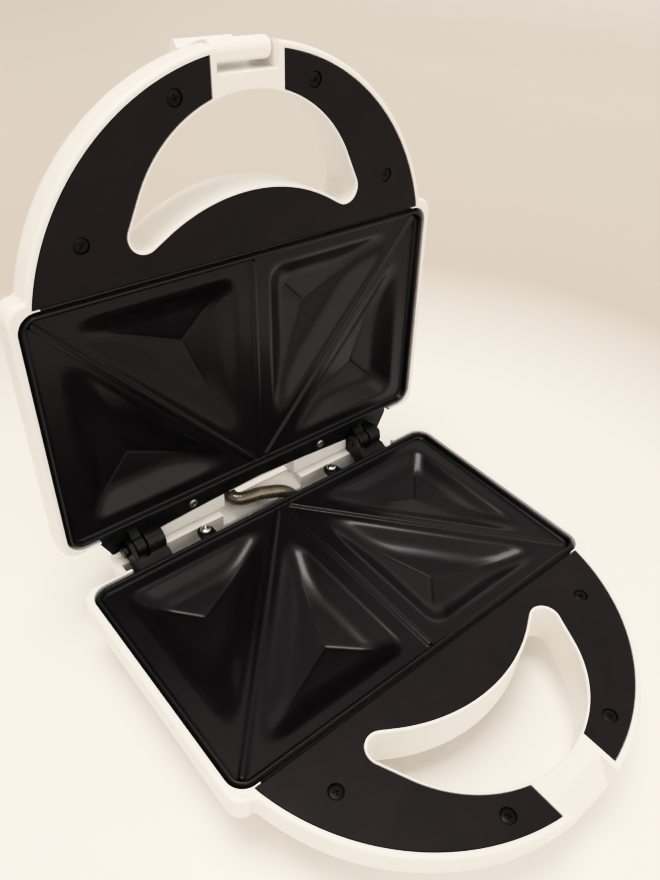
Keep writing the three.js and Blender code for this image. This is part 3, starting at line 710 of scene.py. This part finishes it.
def plate_face():
    """The cooking face as a closed casting: a fine top, a coarse underside and walls between them."""
    columns = np.linspace(-PLATE_HALF + FACE_INSET, PLATE_HALF - FACE_INSET, FACE_STEP * 66 + 1)
    rows = np.linspace(PLATE_BACK + FACE_INSET, PLATE_FRONT - FACE_INSET, FACE_STEP * 36 + 1)
    points, faces, grids = [], [], []
    for step in (1, FACE_STEP):
        x, f = np.meshgrid(columns[::step], rows[::step])
        n = plate_height(x, f)
        if step > 1:
            n = np.minimum(n, 0) - CASTING
        grid = len(points) + np.arange(x.size).reshape(x.shape)
        grids.append(grid)
        points += np.stack([x, -f, n], -1).reshape(-1, 3).tolist()
        around = [grid[:-1, :-1], grid[1:, :-1], grid[1:, 1:], grid[:-1, 1:]]
        if step > 1:
            around.reverse()
        faces += np.stack([side.reshape(-1) for side in around], -1).tolist()
    top, under = grids
    rims = [(top[0], under[0]), (top[-1][::-1], under[-1][::-1])]
    rims += [(top[::-1, 0], under[::-1, 0]), (top[:, -1], under[:, -1])]
    for fine, coarse in rims:
        for i in range(len(coarse) - 1):
            first = FACE_STEP * i
            faces.append([*fine[first : first + FACE_STEP + 1].tolist(), int(coarse[i + 1]), int(coarse[i])])
    mesh = bpy.data.meshes.new("face")
    mesh.from_pydata(points, [], faces)
    return new_object("face", mesh)


def plate(half, tabs):
    """The cast plate: a ring for flange and rim, the cooking face inside it, and screw tabs."""
    ring = [
        (7, -FLANGE), (0.35, -FLANGE), (0.1, -3.1), (0, -2.85), (0, -0.45), (0.12, -0.15), (0.4, -0.02),
        (0.85, 0.04), (1.1, 0.25), (1.2, 0.8), (1.3, 1.9), (1.45, 2.6), (1.75, 3.05), (2.15, 3.27), (2.4, 3.3),
        (2.7, 3.25), (3.1, 3.0), (3.35, 2.55), (3.5, 1.9), (3.7, 0.95), (3.95, 0.42), (4.35, 0.12), (4.9, 0),
        (6.2, -0.12), (7, -FLANGE),
    ]
    edge = loft(levels(lambda i: plate_outline(-i), ring), closed=False)
    pieces = [edge, plate_face()]
    for tab_x, tab_f in tabs:
        outline = [(tab_x + TAB_R, 0), *arc(tab_x, tab_f, TAB_R, 90, 270, 24), (tab_x - TAB_R, 0)]
        hole = turned([(SCREW_HOLE_R, -6), (SCREW_HOLE_R, 1)], tab_x, tab_f, 24)
        tab = cut(prism(outline, -FLANGE, -1), hole)
        pieces.append(soften(tab, 0.35))
    bm = bmesh.new()
    for part in pieces:
        bm.from_mesh(part.data)
        bpy.data.objects.remove(part)
    mesh = bpy.data.meshes.new("plate")
    bm.to_mesh(mesh)
    bm.free()
    made = new_object("plate", mesh)
    made.data.transform(HALVES[half])
    made.name = made.data.name = f"{half}_cooking_plate"
    made.data.shade_smooth()
    made.data.set_sharp_from_angle(angle=math.radians(80))
    made.data.materials.append(NONSTICK)
    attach(made, half)
    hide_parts(f"{half}_plate")


# ---------------------------------------------------------------- covers, screws, feet


def handle_cover(half):
    """The black panel on the handle, with a round well for each screw."""
    body = prism(cover_outline(0), COVER_BOTTOM, COVER_TOP)
    cut(body, prism(crescent(-0.1), -1, 6), box(-BLOCK_HALF, BLOCK_HALF, 190, 240, -1, 6))
    well = [
        (SCREW_RECESS_R, COVER_TOP - SCREW_RECESS), (SCREW_RECESS_R, COVER_TOP - 0.1),
        (SCREW_RECESS_R + 0.2, COVER_TOP + 0.1), (SCREW_RECESS_R + 0.2, 6),
    ]
    for x, f in COVER_SCREWS:
        cut(body, turned(well, x, f, 40))
        cut(body, turned([(SCREW_HOLE_R, -1), (SCREW_HOLE_R, 6)], x, f, 24))

    def top_edge(x, y, n):
        """Whether an edge is one of the top face's, and not of a screw's well."""
        return n > 2.9 and all(math.hypot(x - sx, y + sf) > 5 for sx, sf in COVER_SCREWS)

    soften(body, 0.45, 50, 3, top_edge)
    name = f"{half}_handle_panel"
    finish_piece(body, name, half, COVER, replaces=[f"{half}_handle_cover"])


def screw(name, half, x, f, seat, head_r, head_height, shank_r, length, material, node, turn, slot):
    """A pan-head screw with a cross recess, turned by some angle."""
    crown = [(head_r, 0.05), (head_r, head_height * 0.3)]
    for a in np.linspace(0.25, 1.5, 7):
        crown.append((head_r * math.cos(a) ** 0.8, head_height * (0.3 + 0.7 * math.sin(a))))
    thread = []
    for k in range(int(length / 0.9) - 1):
        thread += [(shank_r * 0.8, -length + 1 + k * 0.9), (shank_r, -length + 1.35 + k * 0.9)]
    profile = [(0.2, -length), *thread, (shank_r * 0.8, -0.4), (shank_r * 0.8, 0), (head_r * 0.95, 0), *crown]
    body = turned([(r, seat + n) for r, n in profile], x, f, 40)
    for angle in (turn, turn + 90):
        c, s = math.cos(math.radians(angle)), math.sin(math.radians(angle))
        wide, reach = 0.42, head_r * 0.62

        def corners(w, l):
            signs = ((1, 1), (-1, 1), (-1, -1), (1, -1))
            return [(x + c * i * l - s * j * w, f + s * i * l + c * j * w) for i, j in signs]

        low = [(p, q, seat + head_height * 0.25) for p, q in corners(wide * 0.5, reach * 0.35)]
        high = [(p, q, seat + head_height + 0.3) for p, q in corners(wide, reach)]
        cut(body, loft([low, high]))
    finish_piece(body, name, half, material, replaces=[node])


def feet():
    profile = [
        (0.3, -43.6), (3.2, -43.7), (4.0, -44), (5.3, -44), (6.0, -43.85), (6.5, -43.3), (6.85, -41.5),
        (7, -40.7), (6.8, -40.35), (2.5, -40.3), (2.4, -37.8), (0.3, -37.6),
    ]
    for i, (x, f) in enumerate(FEET):
        body = turned(profile, x, f)
        finish_piece(body, f"rubber_foot_{i + 1}", "base", RUBBER, replaces=[f"foot_{i + 1}"])


# ---------------------------------------------------------------- hinges


def barrel(span, r):
    return rounded_rod(-HINGE_BACK, AXIS_N, *span, r, 0.6)


def bore(span):
    return rod(-HINGE_BACK, AXIS_N, BORE_R, span[0] - 1, span[1] + 1)


def hinge_bracket(side, hinge):
    """An outer ear and a knuckle that hold the lid's knuckle, on a plate behind the cooking plate."""
    x0, x1 = hinge["ear"][0], hinge["base"][1]
    ear = [(-20, 2), (-19.4, -5.2), (-15.2, -5.2), (-6.2, -11), (-5.5, 0.6), (-11.2, 6.4)]
    leg = [(-18, -3.3), (-12, 2.5), (-5.5, 0.6), (-6.2, -9), (-14.2, -4.4)]
    back = [(-7.4, 1.4), (-5.5, 0.8), (-2.2, -2), (-2.2, -24), (-6.2, -24), (-6.2, -6), (-7.4, -4)]
    body = join(
        barrel(hinge["base"], BASE_R),
        along_x(leg, hinge["base"][0] + 0.2, hinge["base"][1] - 0.2),
        rod(-HINGE_BACK, AXIS_N, EAR_R, *hinge["ear"]),
        along_x(ear, *hinge["ear"]),
        along_x(back, x0, x1),
        box(x0, x1, -6.2, 4, -26.5, -24),
    )
    cut(body, bore(hinge["ear"]), bore(hinge["base"]))
    soften(body, 0.45, 40)
    node = f"hinge_arm_{side}"
    finish_piece(body, f"base_knuckle_{side}", "base", HINGE, replaces=[node])


def hinge_bar():
    """The lid's bar along the plate's back edge, with a knuckle for each hinge."""
    body = prism(bar_outline(0), -FLANGE, -1)
    arm = [(-19, -3.4), (-12, -3.1), (-6, -3.1), (-6, -1.05), (-10.4, 5), (-15.5, 9.4)]
    for hinge in HINGES.values():
        lid, base, ear = [(-b, -a) for a, b in (hinge["lid"], hinge["base"], hinge["ear"])]
        for (x0, x1), r in ((base, BASE_R), (ear, EAR_R)):
            cut(body, rod(-HINGE_BACK, AXIS_N, r + 0.6, x0 - 0.5, x1 + 0.5))
        join(body, barrel(lid, LID_R), along_x(arm, lid[0] + 0.3, lid[1] - 0.3))
        cut(body, bore(lid))
    for x, f in PLATE_SCREWS:
        cut(body, turned([(SCREW_HOLE_R, -6), (SCREW_HOLE_R, 2)], x, f, 24))
    soften(body, 0.4, 40)
    finish_piece(body, "lid_knuckle_bar", "lid", HINGE, replaces=["lid_hinge_bar"])


def hinge_pins():
    for side, hinge in HINGES.items():
        body = rounded_rod(-HINGE_BACK, AXIS_N, *hinge["pin"], PIN_R, 0.6)
        join(body, rounded_rod(-HINGE_BACK, AXIS_N, *hinge["head"], PIN_HEAD_R, 1.0))
        node = f"hinge_pin_{side}"
        finish_piece(body, f"pin_{side}", "base", PIN, replaces=[node])


# ---------------------------------------------------------------- latch, lamps and wiring


def latch():
    """The flip-over clip: a barrel on its pin and a curved flap with a hooked end."""
    body = rounded_rod(LATCH_F, LATCH_N, -LATCH_HALF, LATCH_HALF, 4.9, 1.6)
    flap = [
        (4.8, 0), (4.3, -4), (2.6, -10), (1.0, -14.5), (-0.4, -18.5), (-1.1, -22), (-1.15, -24.5),
        (-0.6, -25.7), (1.2, -26.4), (1.8, -27), (1.7, -28.2), (0.6, -29.4), (-0.9, -30.5), (-2.6, -31.2),
        (-4, -31.2), (-4.9, -30.4), (-4.7, -28.9), (-4.2, -27), (-3.8, -22), (-2.6, -17), (0.2, -9.5),
        (1.6, -3),
    ]
    section = [(LATCH_F + p, LATCH_N + q) for p, q in flap]
    join(body, along_x(section, -LATCH_HALF + 0.15, LATCH_HALF - 0.15))
    cut(body, rod(LATCH_F, LATCH_N, 1.8, -LATCH_HALF - 1, LATCH_HALF + 1))
    soften(body, 0.6, 40)
    finish_piece(body, "latch_flap", "lid", SHELL, body="latch", replaces=["latch_clip"])


def lamp_lenses():
    profile = [
        (0.2, -41.6), (2, -41.55), (4, -41.35), (4.9, -41), (5.35, -40.6), (5.3, -40.3), (4, -40.3), (4, -36),
        (0.2, -36),
    ]
    for x, node, material, slot in (
        (LAMPS[0], "power_lamp_lens", RED, "lens_red"),
        (LAMPS[1], "ready_lamp_lens", GREEN, "lens_green"),
    ):
        body = turned(profile, x, LAMP_F)
        finish_piece(body, f"{node}_dome", "lid", material, replaces=[node])


def conduit():
    """The braided sleeve, as a tube with a map of round and along for its weave."""
    knots = [Vector((x, -f, n)) for x, f, n in CONDUIT]
    ends = [knots[0] * 2 - knots[1], *knots, knots[-1] * 2 - knots[-2]]
    path = []
    for p0, p1, p2, p3 in zip(ends, ends[1:], ends[2:], ends[3:]):
        square, cube = 2 * p0 - 5 * p1 + 4 * p2 - p3, 3 * p1 - p0 - 3 * p2 + p3
        for t in np.linspace(0, 1, 16, endpoint=False):
            path.append(0.5 * (2 * p1 + (p2 - p0) * t + square * t**2 + cube * t**3))
    path.append(knots[-1])
    sides = 32
    bm = bmesh.new()
    layer = bm.loops.layers.uv.new("along")
    side = Vector((1, 0, 0))
    rings, far = [], 0.0
    for i, point in enumerate(path):
        ahead = (path[min(i + 1, len(path) - 1)] - path[max(i - 1, 0)]).normalized()
        side = (side - ahead * side.dot(ahead)).normalized()
        other = ahead.cross(side)
        if i:
            far += (point - path[i - 1]).length
        swell = CONDUIT_R - 0.35 + 0.03 * math.sin(far * 3.2)
        ring = [bm.verts.new(point + (side * c + other * s) * swell) for c, s in circle(sides)]
        rings.append((ring, far))
    for (low, a), (high, b) in zip(rings, rings[1:]):
        for i in range(sides):
            j = (i + 1) % sides
            face = bm.faces.new((low[i], low[j], high[j], high[i]))
            for loop, uv in zip(face.loops, ((i, a), (i + 1, a), (i + 1, b), (i, b))):
                loop[layer].uv = (uv[0] / sides, uv[1] / 100)
    bm.faces.new(rings[0][0][::-1])
    bm.faces.new(rings[-1][0])
    mesh = bpy.data.meshes.new("braided_sleeve")
    bm.to_mesh(mesh)
    bm.free()
    mesh.transform(BASE)
    mesh.shade_smooth()
    mesh.materials.append(BRAID)
    made = new_object("braided_sleeve", mesh)
    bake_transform(made)
    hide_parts("wire_conduit")


# ---------------------------------------------------------------- the object

base_shell()
lid_shell()
plate("base", PLATE_SCREWS)
plate("lid", [])
TURNS = [20, 65, -15, 40]
for half in HALVES:
    handle_cover(half)
    for i, (x, f) in enumerate(COVER_SCREWS):
        node = f"{half}_cover_screw_{i + 1}"
        seat = COVER_TOP - SCREW_RECESS + 0.3
        screw(f"{node}_head", half, x, f, seat, *COVER_SCREW, SCREW_BLACK, node, TURNS[i], "screw_black")
    for i, (x, f) in enumerate(PLATE_SCREWS):
        node = f"{half}_plate_screw_{i + 1}"
        # The lid's screws take the darker zinc, which is painted shade.
        metal = ZINC if half == "base" else SHADED_ZINC
        screw(f"{node}_head", half, x, f, -0.7, *PLATE_SCREW[half], metal, node, TURNS[i] + 10, "zinc")
feet()
for side, hinge in HINGES.items():
    hinge_bracket(side, hinge)
hinge_bar()
hinge_pins()
latch()
lamp_lenses()
conduit()

KEPT = {
    "base_heating_element": SHEATH, "lid_heating_element": SHEATH, "base_reflector": STEEL,
    "lid_reflector": STEEL, "thermostat": STEEL, "terminal_block": CERAMIC, "cord_inlet": RUBBER,
    "thermal_fuse": ZINC, "latch_pin": STEEL, "power_lamp_neon": GLASS, "ready_lamp_neon": GLASS,
}
for node, material in KEPT.items():
    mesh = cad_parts[node].data
    mesh.materials.clear()
    mesh.materials.append(material)

# ---------------------------------------------------------------- floor and light


FLOOR_PALE_R, FLOOR_FAR_R = 0.28, 4.28  # metres from the middle


def floor_material():
    """Matt floor: pale in the middle, beige in a ring round it, and paler again further out, where the paler
    tone is painted light that makes up for the lamps' falloff.
    """
    m = Material("floor_with_painted_falloff")
    away = m.node("ShaderNodeVectorMath", {0: m.place}, operation="LENGTH").outputs["Value"]
    cloud = m.math("ADD", away, m.spread(m.noise(1.5, 3), 0.3, 0.7, -0.02, 0.02))
    far = m.spread(cloud, FLOOR_PALE_R, FLOOR_FAR_R, 0, 1)
    # The stops past the beige ring grow paler as painted light, offsetting the lamps' falloff far from the
    # middle.
    stops = [
        (0, (0.92, 0.90, 0.87)), (0.055, (0.52, 0.46, 0.405)), (0.25, (0.69, 0.62, 0.545)),
        (0.6, (0.84, 0.785, 0.72)), (1, (0.95, 0.94, 0.92)),
    ]
    shade = m.ramp(far, [(at, rgb(*colour)) for at, colour in stops])
    rough = m.spread(m.noise(6, 3), 0.3, 0.7, 0.5, 0.6)
    return m.set(Base_Color=shade, Roughness=rough, Normal=m.bump(m.noise(300, 2), 0.02, 0.0005))


bm = bmesh.new()
bmesh.ops.create_circle(bm, cap_ends=True, segments=96, radius=20)
floor_mesh = bpy.data.meshes.new("floor")
bm.to_mesh(floor_mesh)
bm.free()
floor_mesh.materials.append(floor_material())
new_object("floor", floor_mesh)


def area_light(name, place, target, size, power, colour):
    data = bpy.data.lights.new(name, "AREA")
    data.shape = "RECTANGLE"
    data.size, data.size_y = size
    data.energy = power
    data.color = colour
    made = bpy.data.objects.new(name, data)
    scene.collection.objects.link(made)
    made.location = place
    made.rotation_euler = (Vector(target) - Vector(place)).to_track_quat("-Z", "Y").to_euler()


WARM = (1.0, 0.97, 0.93)
area_light("overhead", (-0.25, 0.15, 1.8), (0, 0, 0.05), (0.8, 0.8), 15.5, (1.0, 0.97, 0.92))
area_light("left_fill", (-1.8, 0.3, 1.3), (0, 0, 0.1), (1.4, 1.2), 2.5, (1.0, 0.97, 0.925))
area_light("front_fill", (0.1, -2.0, 1.5), (0, 0, 0.1), (3.4, 2.0), 21, WARM)
area_light("right_fill", (2.3, 1.5, 1.0), (0, 0, 0.1), (3.4, 2.0), 6, WARM)

world = bpy.data.worlds.new("studio")
scene.world = world
world.use_nodes = True
sky = world.node_tree.nodes["Background"].inputs
sky["Color"].default_value = (0.95, 0.92, 0.875, 1)
sky["Strength"].default_value = 0.42

# A soft shoulder: bright tones gather just below a warm white. Each pair is (light, shown).
TONES = [
    (0.03, 0.024), (0.06, 0.056), (0.1, 0.125), (0.2, 0.31), (0.3, 0.48), (0.4, 0.625), (0.5, 0.735),
    (0.65, 0.84), (0.8, 0.905), (1.0, 0.965),
]
WARM_WHITE = (1.0, 0.957, 0.905)
view = scene.view_settings
view.view_transform = "Standard"
view.use_curve_mapping = True
for curve, white in zip(view.curve_mapping.curves, WARM_WHITE):
    curve.points[0].location = (0, 0)
    curve.points[1].location = (TONES[-1][0], TONES[-1][1] * white)
    for light, shown in TONES[:-1]:
        curve.points.new(light, shown * (1 + (white - 1) * min(1, shown * 1.4)))
view.curve_mapping.update()
